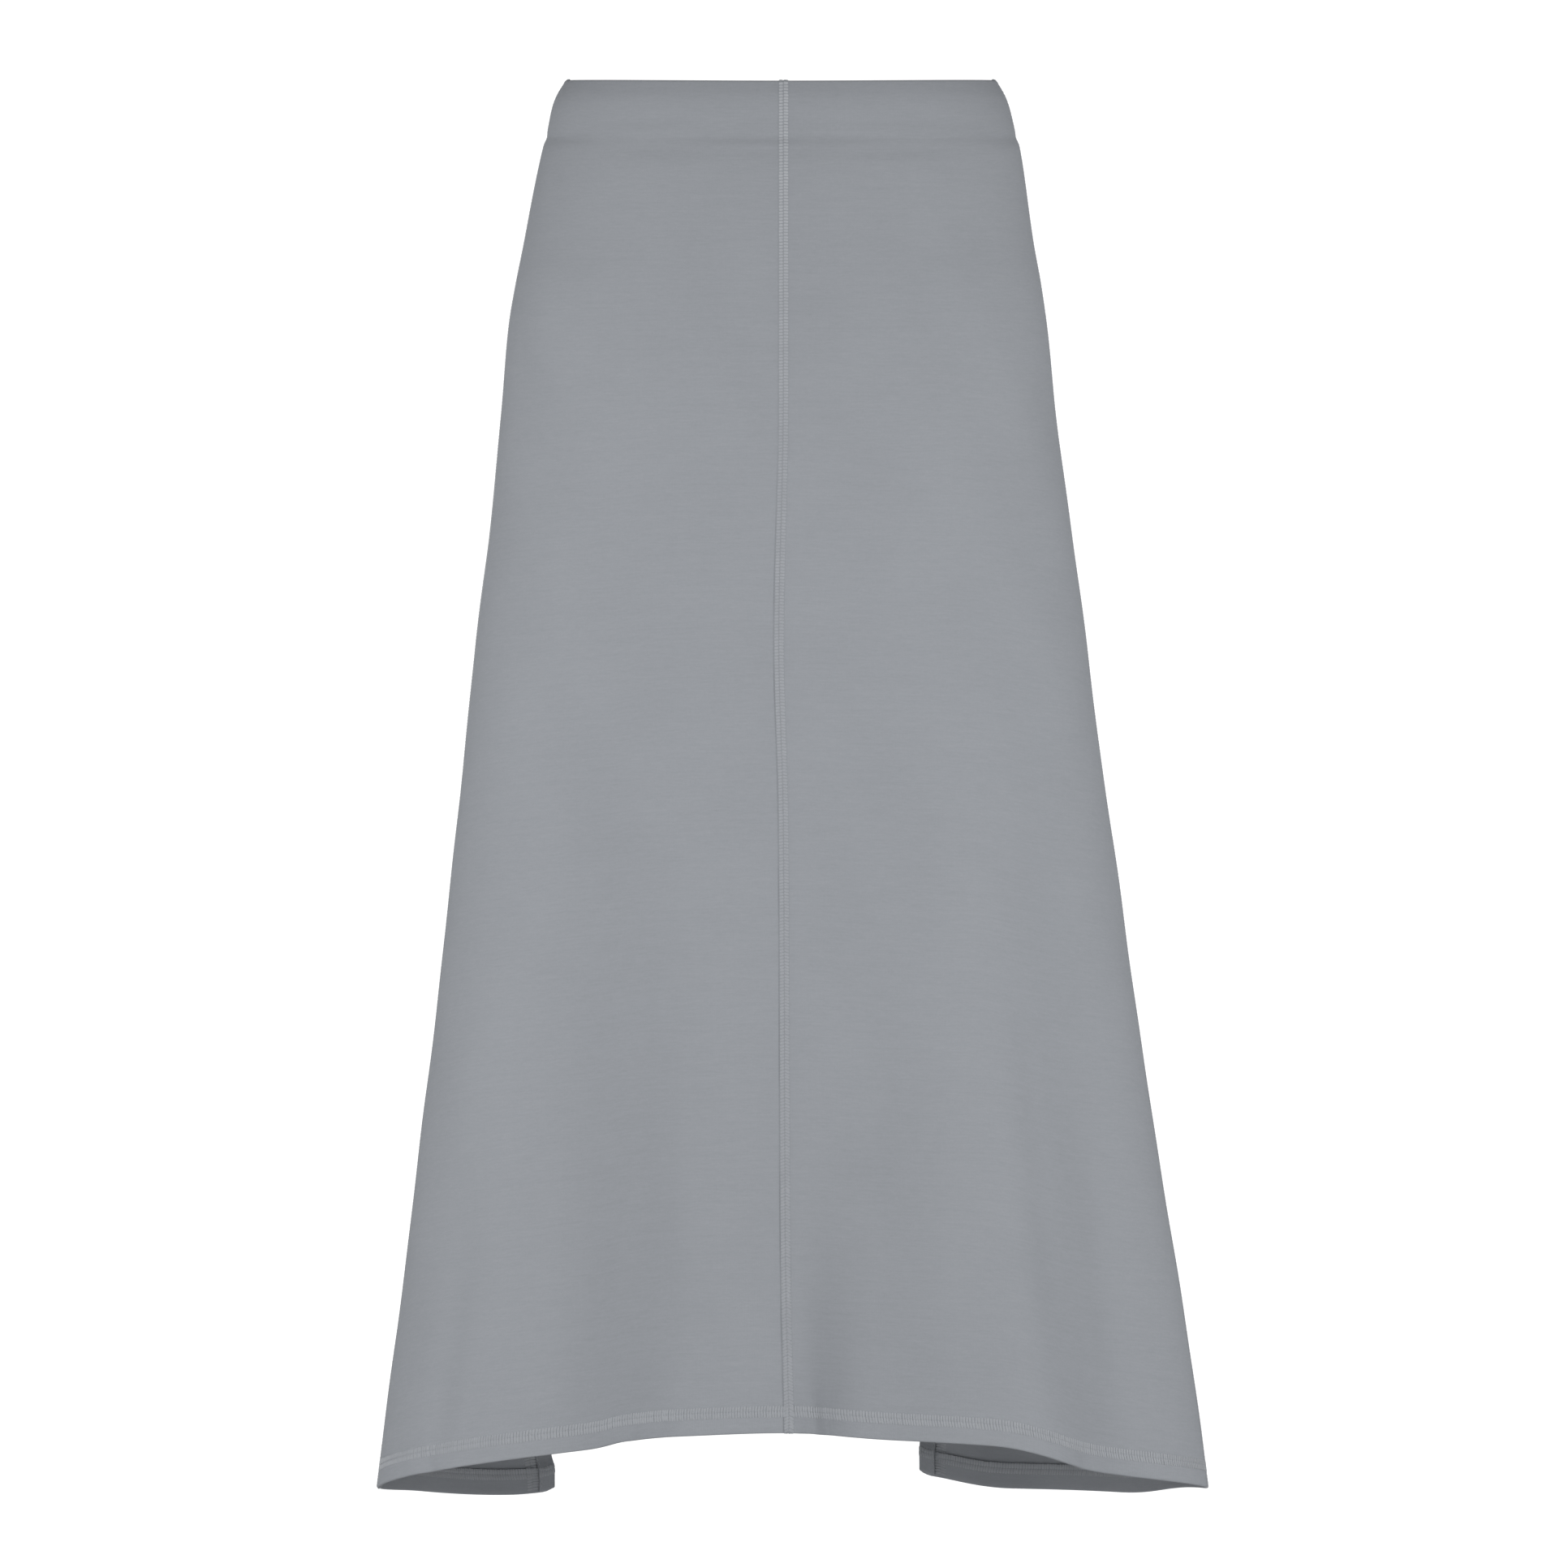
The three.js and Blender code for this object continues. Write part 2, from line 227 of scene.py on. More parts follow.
halfLeft, halfRight, depthFront, depthBack, squareness = (
    smoothCurve(sections, "down", key) for key in ("left", "right", "front", "back", "square"))
hemDrop = smoothCurve(hemLine, "turn", "drop")
frontSeamX = smoothCurve(frontSeamLine, "down", "x")
backSeamX = smoothCurve(backSeamLine, "down", "x")
leftSeamLead, rightSeamLead = (smoothCurve(sideSeamLines, "down", key) for key in ("left", "right"))


def smoothStep(value, low, high):
    t = np.clip((value - low) / (high - low), 0, 1)
    return t * t * (3 - 2 * t)


def wrapTurn(turn):
    return turn - 2 * math.pi * np.round(turn / (2 * math.pi))


def plainRadius(turn, down):
    # Distance of the plain skirt from its axis, without folds
    sideways, ahead = np.sin(turn), np.cos(turn)
    half = np.where(sideways < 0, halfLeft(down), halfRight(down))
    depth = np.where(ahead > 0, depthFront(down), depthBack(down))
    power = squareness(down)
    return (np.abs(sideways / half) ** power + np.abs(ahead / depth) ** power) ** (-1 / power)


def waistHeight(turn):
    ahead = np.cos(turn)
    front, back = shape["frontWaistLean"], shape["backWaistLean"]
    return -(back + (front - back) * (1 + ahead) / 2) * plainRadius(turn, 0.0) * ahead


def fallAt(turn):
    # Length of the cloth's fall from the waist edge to the hem
    return waistHeight(turn) + hemDrop(wrapTurn(turn) / degree)


def foldRelief(turn, down, radius):
    fall = fallAt(turn)
    relief = np.zeros(np.broadcast(turn, down).shape)
    for fromTurn, toTurn, start, width, depth in folds:
        grown = smoothStep(down, start, fall)
        along = np.clip((down - start) / (fall - start), 0, 1)
        centre = (fromTurn + (toTurn - fromTurn) * along) * degree
        away = wrapTurn(turn - centre) * radius
        relief += depth * grown * np.exp(-((away / width) ** 2))
    return relief


def rollRelief(down):
    return waistRoll["depth"] * np.exp(-((down / waistRoll["reach"]) ** 2))


def creaseRelief(turn, down, radius):
    relief = np.zeros(np.broadcast(turn, down).shape)
    for startTurn, endTurn, startDown, endDown, width, depth in creases:
        middle = (startTurn * degree + endTurn * degree) / 2
        middleDown = (startDown + endDown) / 2
        reach = plainRadius(middle, middleDown) * (endTurn * degree - startTurn * degree) / 2
        drop = (endDown - startDown) / 2
        half = math.hypot(reach, drop)
        across, below = wrapTurn(turn - middle) * radius, down - middleDown
        along = (across * reach + below * drop) / half
        aside = (below * reach - across * drop) / half
        fade = np.clip(1 - (along / half) ** 2, 0, 1) ** 2
        relief += depth * fade * np.exp(-((aside / width) ** 2))
    for acrossLength, downLength, phase, height in unevenness:
        across = wrapTurn(turn) * waves["radius"]
        angle = 2 * math.pi * (across / acrossLength + down / downLength) + phase
        relief += height * np.sin(angle) * smoothStep(down, waves["from"], waves["full"])
    return relief - rollRelief(down)


def clothPoint(turn, down):
    # A point of the outer face, in mm
    radius = plainRadius(turn, down)
    radius = radius + foldRelief(turn, down, radius) + creaseRelief(turn, down, radius)
    return np.stack([radius * np.sin(turn), -radius * np.cos(turn), waistHeight(turn) - down], -1)


def paintedFoldShade(turn, down):
    # Painted shade: from 1 in the hollow of a fold and on the side that turns away from the front light, to
    # its lowest, a painted light, on a ridge
    radius = plainRadius(turn, down)

    def relief(offset):
        moved = turn + offset / radius
        return foldRelief(moved, down, radius) + creaseRelief(moved, down, radius)

    step, turned = foldShadeLook["step"], foldShadeLook["turned"]
    before, after = relief(-step), relief(step)
    hollow = -((before + after) / 2 + rollRelief(down))
    away = -np.clip(np.sin(turn), -turned, turned) * ((after - before) / (2 * step))
    return np.clip(foldShadeLook["hollow"] * hollow + foldShadeLook["away"] * away, foldShadeLook["lowest"], 1)


def pointBelowFace(turn, down, depth):
    turnStep, downStep = 0.004, 1.0
    across = clothPoint(turn + turnStep, down) - clothPoint(turn - turnStep, down)
    along = clothPoint(turn, down + downStep) - clothPoint(turn, down - downStep)
    outward = np.cross(along, across)
    outward /= np.linalg.norm(outward, axis=-1, keepdims=True)
    return clothPoint(turn, down) - outward * np.asarray(depth)[..., None]


def turnAtX(x, down, onBack):
    # The turn where the plain skirt is that far from its middle, found by halving
    side, halvings = np.where(x < 0, -1.0, 1.0), 40
    low = np.full(np.shape(down), math.pi / 2 if onBack else 0.0)
    high = low + math.pi / 2
    for _ in range(halvings):
        middle = (low + high) / 2
        tooWide = plainRadius(middle * side, down) * np.sin(middle) > np.abs(x)
        outer = tooWide if onBack else ~tooWide
        low = np.where(outer, middle, low)
        high = np.where(outer, high, middle)
    return (low + high) / 2 * side


def frontSeam(down):
    return turnAtX(frontSeamX(down), down, False)


def leftSeam(down):
    return -math.pi / 2 + leftSeamLead(down) / halfLeft(down)


def rightSeam(down):
    return math.pi / 2 - rightSeamLead(down) / halfRight(down)


def backEdge(down, xAtHem):
    opened = np.clip((down - shape["ventTop"]) / (length - shape["ventTop"]), 0, 1)
    shared = backSeamX(np.minimum(down, shape["ventTop"]))
    spread = np.sin(opened * math.pi / 2) ** shape["ventNarrowing"]
    return turnAtX(shared + (xAtHem - shared) * spread, down, True)


def backRightEdge(down):
    return backEdge(down, shape["ventRightAtHem"]) % (2 * math.pi)


def backLeftEdge(down):
    return backEdge(down, shape["ventLeftAtHem"]) % (2 * math.pi) - 2 * math.pi


def backSeam(down):
    return backRightEdge(np.minimum(down, shape["ventTop"]))


# The way along the cloth, from the raw edge inside the waist over the fold, down the outside
# and round the hem. A nominal distance down is that of the frame's tables: near the waist
# and the hem it keeps its millimetres, and between them it is shared out over the fall.


def actualDown(nominal, fall):
    top = cloth["keptAtTop"]
    hemStart = length - cloth["keptAtHem"]
    share = (nominal - top) / (hemStart - top)
    middle = top + share * (fall - cloth["keptAtHem"] - top)
    return np.where(nominal <= top, nominal, np.where(nominal < hemStart, middle, fall - length + nominal))


def nominalDown(down, fall):
    top = cloth["keptAtTop"]
    hemStart = fall - cloth["keptAtHem"]
    share = (down - top) / (hemStart - top)
    middle = top + share * (length - cloth["keptAtHem"] - top)
    return np.where(down <= top, down, np.where(down < hemStart, middle, length - fall + down))


waistArc = math.pi * cloth["waistRadius"]
hemArc = math.pi * cloth["hemRadius"]


def outsideLength(fall):
    # Way from the fold at the waist to the fold at the hem
    return fall - cloth["hemCentre"] - cloth["waistCentre"]


def pathAt(way, fall, lift):
    # Distance down and depth of a point that lies lift above the cloth's middle
    start, end, outside = cloth["waistCentre"], fall - cloth["hemCentre"], outsideLength(fall)
    waistBend = np.clip(-way / cloth["waistRadius"], 0, math.pi)
    hemBend = np.clip((way - outside) / cloth["hemRadius"], 0, math.pi)
    facing = np.maximum(-way - waistArc, 0)
    turnUp = np.maximum(way - outside - hemArc, 0)
    waistR, hemR = cloth["waistRadius"] + lift, cloth["hemRadius"] + lift
    inWaist, inHem = way < 0, way > outside
    down = np.where(
        inWaist, start - waistR * np.sin(waistBend) + facing,
        np.where(inHem, end + hemR * np.sin(hemBend) - turnUp, start + way))
    depth = np.where(
        inWaist, start - waistR * np.cos(waistBend),
        np.where(inHem, cloth["hemCentre"] - hemR * np.cos(hemBend), halfCloth - lift))
    return down, depth


def ventFoldDepth(nominal):
    # Depth of the vent fold's centre, which is more where the hem lies below it
    above = length - nominal
    below, beyond = cloth["turnUpStep"]
    atHem = 1 - smoothStep(above, cloth["hemTurnUp"] - below, cloth["hemTurnUp"] + beyond)
    return cloth["ventFold"] + (cloth["ventFoldAtHem"] - cloth["ventFold"]) * atHem


# How each vent edge is drawn up and in at the hem: raise and lift are for the fold and the
# cloth beside it, strip is for its turned-in strip, and pull narrows the edge above the hem
ventCorner = {
    "back_right": {"raise": 1.9, "reach": 4.0, "lift": 0.7, "run": 20, "pull": 0.4, "strip": 1.7},
    "back_left": {"raise": 1.8, "reach": 3.6, "lift": 0.3, "run": 14, "pull": 1.9, "strip": 0.9},
}
ventDraw = {"pullHeight": 22, "pullReach": 7, "full": 8, "none": 34}
panelTable = {"rows": 160, "columns": 60}


class Panel:
    # One panel, with its seams as turns, and the way over its surface

    def __init__(self, name, start, end, ventSide):
        self.name, self.ventSide = name, ventSide
        self.downs = np.linspace(0, length, panelTable["rows"] + 1)
        share = np.linspace(0, 1, panelTable["columns"] + 1)
        first, last = start(self.downs), end(self.downs)
        turns = first[:, None] + (last - first)[:, None] * share
        radius = plainRadius(turns, self.downs[:, None])
        steps = np.hypot(np.diff(radius * np.sin(turns), axis=1), np.diff(radius * np.cos(turns), axis=1))
        lengths = np.hstack([0 * self.downs[:, None], np.cumsum(steps, 1)])
        self.totals = lengths[:, -1]
        self.turns = np.array([np.interp(share * total, reached, row)
                               for total, reached, row in zip(self.totals, lengths, turns)])

    def total(self, nominal):
        return np.interp(nominal, self.downs, self.totals)

    def turnAt(self, across, nominal):
        # Turn of a point at a distance from the panel's first edge
        rows, columns = panelTable["rows"], panelTable["columns"]
        row = np.clip(nominal, 0, length) / length * rows
        column = across / self.total(nominal) * columns
        i = np.clip(np.floor(row).astype(int), 0, rows - 1)
        j = np.clip(np.floor(column).astype(int), 0, columns - 1)
        s, t = row - i, column - j
        upper = self.turns[i, j] * (1 - t) + self.turns[i, j + 1] * t
        lower = self.turns[i + 1, j] * (1 - t) + self.turns[i + 1, j + 1] * t
        return upper * (1 - s) + lower * s

    def place(self, across, way, lift, inward=None, bend=0.0, back=0.0):
        # A point in mm. A panel at the vent takes its distance inwards from the fold's
        # centre instead of across, and then how far round the fold and back it lies.
        nominal, depth = pathAt(way, length, lift)
        raised = 0.0
        if inward is not None:
            corner = ventCorner[self.name]
            centre = ventFoldDepth(nominal)
            above = length - nominal
            opened = smoothStep(nominal, shape["ventFoldTop"], shape["ventFoldTop"] + shape["ventFoldRun"])
            fromPull = (above - ventDraw["pullHeight"]) / ventDraw["pullReach"]
            pulled = corner["pull"] * np.exp(-(fromPull ** 2))
            fromEdge = edge + pulled + (centre - (centre - depth) * np.sin(bend)) * opened + inward + back
            fromFold = fromEdge - edge - pulled
            depth = np.where(bend > 0, centre - (centre - depth) * np.cos(bend), depth)
            across = fromEdge if self.ventSide == "from" else self.total(nominal) - fromEdge
            nearHem = 1 - smoothStep(above, ventDraw["full"], ventDraw["none"])
            raised = nearHem * (corner["raise"] * np.exp(-((fromFold / corner["reach"]) ** 2))
                                + corner["lift"] * np.exp(-((fromFold / corner["run"]) ** 2))
                                + corner["strip"] * bend / math.pi)
        turn = self.turnAt(across, nominal)
        down = actualDown(nominal, fallAt(turn)) - raised
        return pointBelowFace(turn, down, depth)


panels = [
    Panel("front_left", leftSeam, frontSeam, None),
    Panel("front_right", frontSeam, rightSeam, None),
    Panel("back_right", rightSeam, backRightEdge, "to"),
    Panel("back_left", backLeftEdge, leftSeam, "from"),
]


class Seam:
    # One seam, and the way along it in real millimetres

    def __init__(self, name, turnAt, end=None):
        self.name, self.turnAt, self.end = name, turnAt, end

    def fall(self):
        return float(fallAt(self.turnAt(np.array(float(length)))))

    def place(self, aside, way, lift):
        fall = np.full(np.shape(way), self.fall())
        for _ in range(2):  # the fall depends a little on the place
            down, _depth = pathAt(way, fall, lift)
            nominal = np.clip(nominalDown(down, fall), 0, length)
            centre = self.turnAt(nominal)
            fall = fallAt(centre)
        step, below = 0.01, np.maximum(down, 0)
        ahead, behind = plainRadius(centre + step, below), plainRadius(centre - step, below)
        speed = np.hypot(ahead * np.sin(centre + step) - behind * np.sin(centre - step),
                         ahead * np.cos(centre + step) - behind * np.cos(centre - step)) / (2 * step)
        turn = centre + aside / speed
        down, depth = pathAt(way, fallAt(turn), lift)
        return pointBelowFace(turn, down, depth)


seams = [
    Seam("front_seam", frontSeam),
    Seam("right_seam", rightSeam),
    Seam("left_seam", leftSeam),
    Seam("back_seam", backSeam, shape["ventTop"]),
]


# Mesh helpers


def makeMesh(name, points, faces, uvs=(), paintedShades=None):
    # Points are in mm, a uv map holds one pair of metres for each point, and the painted fold shade one
    # number for each point
    mesh = bpy.data.meshes.new(name)
    mesh.from_pydata((points * metre).tolist(), [], faces)
    if uvs:
        corners = np.zeros(len(mesh.loops), np.int32)
        mesh.loops.foreach_get("vertex_index", corners)
        for layer, pairs in uvs.items():
            made = mesh.uv_layers.new(name=layer)
            made.data.foreach_set("uv", (pairs[corners] * metre).ravel())
    if paintedShades is not None:
        mesh.attributes.new("paintedFoldShade", "FLOAT", "POINT").data.foreach_set("value", paintedShades)
    mesh.update()
    piece = bpy.data.objects.new(name, mesh)
    bpy.context.collection.objects.link(piece)
    return piece


def selectOnly(piece):
    bpy.ops.object.select_all(action="DESELECT")
    piece.select_set(True)
    bpy.context.view_layer.objects.active = piece


def smoothByAngle(piece, angle):
    selectOnly(piece)
    bpy.ops.object.shade_smooth_by_angle(angle=angle * degree)


def turnOutwards(piece, angle=None):
    # The faces of closed shells the right way out
    selectOnly(piece)
    bpy.ops.object.mode_set(mode="EDIT")
    bpy.ops.mesh.select_all(action="SELECT")
    bpy.ops.mesh.normals_make_consistent(inside=False)
    bpy.ops.object.mode_set(mode="OBJECT")
    if angle:
        smoothByAngle(piece, angle)


def gridFaces(rows, columns, keep, flipped):
    faces = []
    for r in range(rows - 1):
        for c in range(columns - 1):
            if keep is None or keep[r, c]:
                a, b = r * columns + c, (r + 1) * columns + c
                faces.append((a, a + 1, b + 1, b) if flipped else (a, b, b + 1, a + 1))
    return np.array(faces)


def tubeFaces(rings, around, closed=False):
    # Faces between rings of points, the last of which may join the first
    faces = []
    for i in range(rings if closed else rings - 1):
        here, there = i * around, (i + 1) % rings * around
        for j in range(around):
            faces.append((here + j, there + j, there + (j + 1) % around, here + (j + 1) % around))
    return faces


# The four panels, each one sheet that is folded over the waist, hem and vent

# Rows of a sheet's mesh: points in the facing, round each fold, below the waist, and near
# the hem and in its turn-up, with the gap in millimetres where the vent's fold starts
sheetRows = {"facing": 13, "bend": 9, "upper": 27, "nearHem": 14, "turnUp": 8,
             "ventGap": 1.5, "hemReach": 10}
ventColumns = {"bend": 8, "strip": 4}


def pathStops():
    outside = outsideLength(length)
    facing = -waistArc - np.linspace(cloth["facingEnd"] - cloth["waistCentre"], 0, sheetRows["facing"])
    over = -np.linspace(waistArc, 0, sheetRows["bend"])[1:]
    upper = np.arange(1, sheetRows["upper"] + 1) * cloth["fineGrid"]
    ventStart = shape["ventFoldTop"] - shape["ventFoldRun"] - cloth["waistCentre"]
    steps = round((ventStart - upper[-1]) / cloth["grid"])
    toVent = np.linspace(upper[-1], ventStart, steps + 1)[1:]
    lowerStart = ventStart + sheetRows["ventGap"]
    hemStart = outside - cloth["keptAtHem"] - sheetRows["hemReach"]
    steps = round((hemStart - lowerStart) / cloth["grid"])
    lower = np.linspace(lowerStart, hemStart, steps + 1)
    nearHem = np.linspace(hemStart, outside, sheetRows["nearHem"])[1:]
    under = outside + np.linspace(0, hemArc, sheetRows["bend"])[1:]
    inHem = np.linspace(0, cloth["hemTurnUp"] - cloth["hemCentre"], sheetRows["turnUp"])[1:]
    return np.concatenate([facing, over, upper, toVent, lower, nearHem, under, outside + hemArc + inHem])


def panelSheet(panel):
    way = pathStops()
    nominal, _depth = pathAt(way, length, 0.0)
    count = round(float(panel.total(length)) / cloth["columnGrid"])
    share = np.linspace(0, 1, count + 1)
    rows, nominal = way[:, None], nominal[:, None]
    total = panel.total(nominal)
    if panel.ventSide is None:
        flat, keep = edge + share * (total - 2 * edge), None
        points = panel.place(flat, rows + 0 * share, 0.0)
    else:
        # Beyond the last column the cloth goes round the vent's fold and back along its strip
        centre = ventFoldDepth(nominal)
        opened = (nominal > shape["ventFoldTop"]).astype(float)
        bends = np.linspace(0, math.pi, ventColumns["bend"] + 1)[1:]
        backs = np.linspace(0, 1, ventColumns["strip"] + 1)[1:]
        beyond = len(bends) + len(backs)
        inwardFlat = (1 - share) * (total - 2 * edge - centre * opened)
        inward = np.hstack([inwardFlat, np.zeros((len(way), beyond))])
        bend = np.concatenate([0 * share, bends, 0 * backs + math.pi]) + 0 * rows
        strip = cloth["ventTurnIn"] - centre
        back = np.hstack([np.zeros((len(way), count + 1 + len(bends))), strip * backs])
        points = panel.place(None, rows + 0 * bend, 0.0, inward, bend, back)
        reached = (centre - halfCloth) * bend + back
        flat = total - edge - centre * opened - inward + reached
        keep = np.repeat(opened[:-1] > 0, bend.shape[1] - 1, axis=1)
        keep[:, :count] = True
    faces = gridFaces(*points.shape[:2], keep, panel.ventSide != "from")
    # One map runs along the wales, the other gives the distance to each of the two seams
    if panel.ventSide is None:
        wale = flat - total if panel.name == "front_left" else flat
    else:
        wale = total - flat
    clothMap = np.stack([wale, -(rows + 0 * flat)], -1).reshape(-1, 2)
    toEnd = flat if panel.ventSide == "to" else total - flat
    seamMap = np.stack([total - toEnd, toEnd], -1).reshape(-1, 2)
    turn = panel.turnAt(np.clip(flat, 0, total), nominal + 0 * flat)
    # The painted fold shade of each point: darker in hollows and on sides turned away, lighter on ridges
    paintedShades = paintedFoldShade(turn, actualDown(nominal, fallAt(turn))).ravel()
    points, used = points.reshape(-1, 3), np.unique(faces)
    renumber = np.zeros(len(points), int)
    renumber[used] = np.arange(len(used))
    piece = makeMesh(panel.name + "_cloth", points[used], renumber[faces].tolist(),
                     {"cloth": clothMap[used], "seams": seamMap[used]}, paintedShades[used])
    area = sum(face.area for face in piece.data.polygons)
    selectOnly(piece)
    wall = piece.modifiers.new("wall", "SOLIDIFY")
    wall.thickness = cloth["thickness"] * metre
    wall.offset = 0
    wall.use_even_offset = True
    bpy.ops.object.modifier_apply(modifier=wall.name)
    smoothByAngle(piece, cloth["smoothAngle"])
    print(piece.name, "cloth area", round(area, 4), "triangles", 2 * len(piece.data.polygons))
    return piece


# The elastic inside the waist

elastic = {
    "top": 1.6, "bottom": 32.5, "rounding": 0.3, "outer": 1.05, "inner": 2.05,
    "rib": 0.06, "ribs": 9, "ribSteps": 4, "steps": 220,
    "radius": 107,  # of the ring, for the pattern along it
    "warp": 0.0012, "weft": 0.0009, "fluff": (0.0015, 0.0015, 3.0, 0.0),
    "dark": (0.20, 0.215, 0.23, 1), "light": (0.33, 0.35, 0.37, 1),
    "tone": {"warps": 0.3, "wefts": 0.3, "fluff": 0.5},
    "height": {"warps": 0.6, "wefts": 1.0}, "bump": (0.5, 0.0002),
    "surface": {"Roughness": 0.85},
}


def waistElastic():
    # A flat ring with rounded edges and a fine rib round it
    shares = np.linspace(0, 1, elastic["ribs"] * elastic["ribSteps"] + 1)
    height = elastic["bottom"] - elastic["top"] - 2 * elastic["rounding"]
    downs = elastic["top"] + elastic["rounding"] + shares * height
    wave = elastic["rib"] * (1 - np.cos(shares * elastic["ribs"] * 2 * math.pi))
    middle = (elastic["outer"] + elastic["inner"]) / 2
    profile = np.vstack([
        np.stack([downs, elastic["outer"] + wave], 1), [[elastic["bottom"], middle]],
        np.stack([downs, elastic["inner"] - wave], 1)[::-1], [[elastic["top"], middle]]])
    turns = np.arange(elastic["steps"])[:, None] * 2 * math.pi / elastic["steps"]
    down, depth = profile[:, 0] + 0 * turns, profile[:, 1] + 0 * turns
    points = pointBelowFace(turns, down, depth).reshape(-1, 3)
    faces = tubeFaces(len(turns), len(profile), True)
    lengthMap = np.stack([turns * elastic["radius"] + 0 * down, -down], -1).reshape(-1, 2)
    piece = makeMesh("waist_elastic_band", points, faces, {"cloth": lengthMap})
    turnOutwards(piece, cloth["smoothAngle"])
    return piece


# Thread work: one stroke of thread is modelled, and every stitch is a copy of it

stroke = {
    "sides": 5, "radius": 0.3, "start": (-0.5, 0, -0.35), "smoothAngle": 60,
    # How far each part goes along and up, and how much thicker it gets
    "parts": [(0.2, 0.5, 1.6), (0.6, 0.0, 1.0), (0.2, -0.5, 0.625)],
}


def modelStroke():
    # A round thread one unit long that sinks into the cloth at both ends
    bpy.ops.object.select_all(action="DESELECT")
    bpy.ops.mesh.primitive_circle_add(
        vertices=stroke["sides"], radius=stroke["radius"], fill_type="NGON", location=stroke["start"],
        rotation=(0, 90 * degree, 0))
    model = bpy.context.object
    bpy.ops.object.transform_apply(location=True, rotation=True, scale=True)
    bpy.ops.object.mode_set(mode="EDIT")
    bpy.ops.mesh.select_all(action="SELECT")
    for forward, upward, grow in stroke["parts"]:
        bpy.ops.mesh.extrude_region_move(TRANSFORM_OT_translate={"value": (forward, 0, upward)})
        bpy.ops.transform.resize(value=(1, grow, grow))
    bpy.ops.object.mode_set(mode="OBJECT")
    turnOutwards(model)
    points = np.array([v.co[:] for v in model.data.vertices])
    faces = [tuple(face.vertices) for face in model.data.polygons]
    bpy.data.objects.remove(model, do_unlink=True)
    return points, faces


strokePoints, strokeFaces = modelStroke()


def strokeCopies(starts, ends, width, height, base, place, mirrored=False):
    # Copies of the stroke between pairs of places on the cloth, laid on by place. The width
    # and height are those of the thread, and base is how high its middle lies.
    starts, ends = np.stack(starts, 1), np.stack(ends, 1)
    along = ends - starts
    side = np.stack([-along[:, 1], along[:, 0]], 1) / np.linalg.norm(along, axis=1, keepdims=True)
    middle = (starts + ends) / 2
    flat = (middle[:, None] + along[:, None] * strokePoints[None, :, 0, None]
            + side[:, None] * strokePoints[None, :, 1, None] * width)
    lift = base + strokePoints[None, :, 2] * height + 0 * flat[..., 0]
    points = place(flat[..., 0], flat[..., 1], lift)
    faces = []
    for start in range(0, len(starts) * len(strokePoints), len(strokePoints)):
        for face in strokeFaces:
            faces.append(tuple(start + i for i in (face[::-1] if mirrored else face)))
    return points.reshape(-1, 3), faces


def joinParts(name, parts):
    # Joins lists of points and faces into one piece of closed shells
    points, faces, start = [], [], 0
    for some, theirs in parts:
        points.append(some)
        faces.extend(tuple(start + i for i in face) for face in theirs)
        start += len(some)
    piece = makeMesh(name, np.concatenate(points), faces)
    turnOutwards(piece, stroke["smoothAngle"])
    print(name, "faces", len(faces))
    return piece


# The flat seams: a soft band of thread over the join, with slanting rungs in two columns

flatSeam = {
    "left": -2.6, "right": 3.1, "split": 0.0,
    "band": 0.22,  # how far the band stands above the cloth
    "sunk": 0.12,  # how far its edges and the groove in its middle sink
    "side": 0.25, "shoulder": 0.8, "groove": 0.5, "under": 0.3, "rounding": 0.06,
    "grid": 4.0, "crease": (20, 50, 1.2),  # its rows stand closer where the waist creases
    "pitch": 1.75, "rungWidth": 1.5, "rungHeight": 0.3, "rungLift": 0.02, "inset": 0.3,
    "slantAtTop": 0.3, "slantAtHem": 1.6,  # how far a rung drops over its half of the band
    "slantFrom": 260, "slantTo": 720,
    "leftSlant": 0.8, "step": 0.3, "gap": (0.1, 0.25),  # how the left rungs and right ones meet
    "waver": 0.05, "slantWaver": 0.12, "endWaver": 0.06,
    # Where the work stops: inside the waist, and short of or past the raw edges
    "insideWaist": 31.5, "shortOfEdge": 0.5, "shortOfTurnUp": 1.5, "pastFacing": 1,
}


def seamSpan(seam, inner):
    # First and last way of the thread work, on the face that shows or inside
    if inner:
        first = cloth["facingEnd"] - cloth["waistCentre"] + flatSeam["pastFacing"]
        last = seam.end or seam.fall() - cloth["hemTurnUp"] - flatSeam["shortOfTurnUp"]
        return first, last - cloth["waistCentre"]
    first = -waistArc - flatSeam["insideWaist"]
    if seam.end:
        return first, seam.end - cloth["waistCentre"]
    turnedUp = hemArc + cloth["hemTurnUp"] - cloth["hemCentre"]
    return first, outsideLength(seam.fall()) + turnedUp - flatSeam["shortOfEdge"]


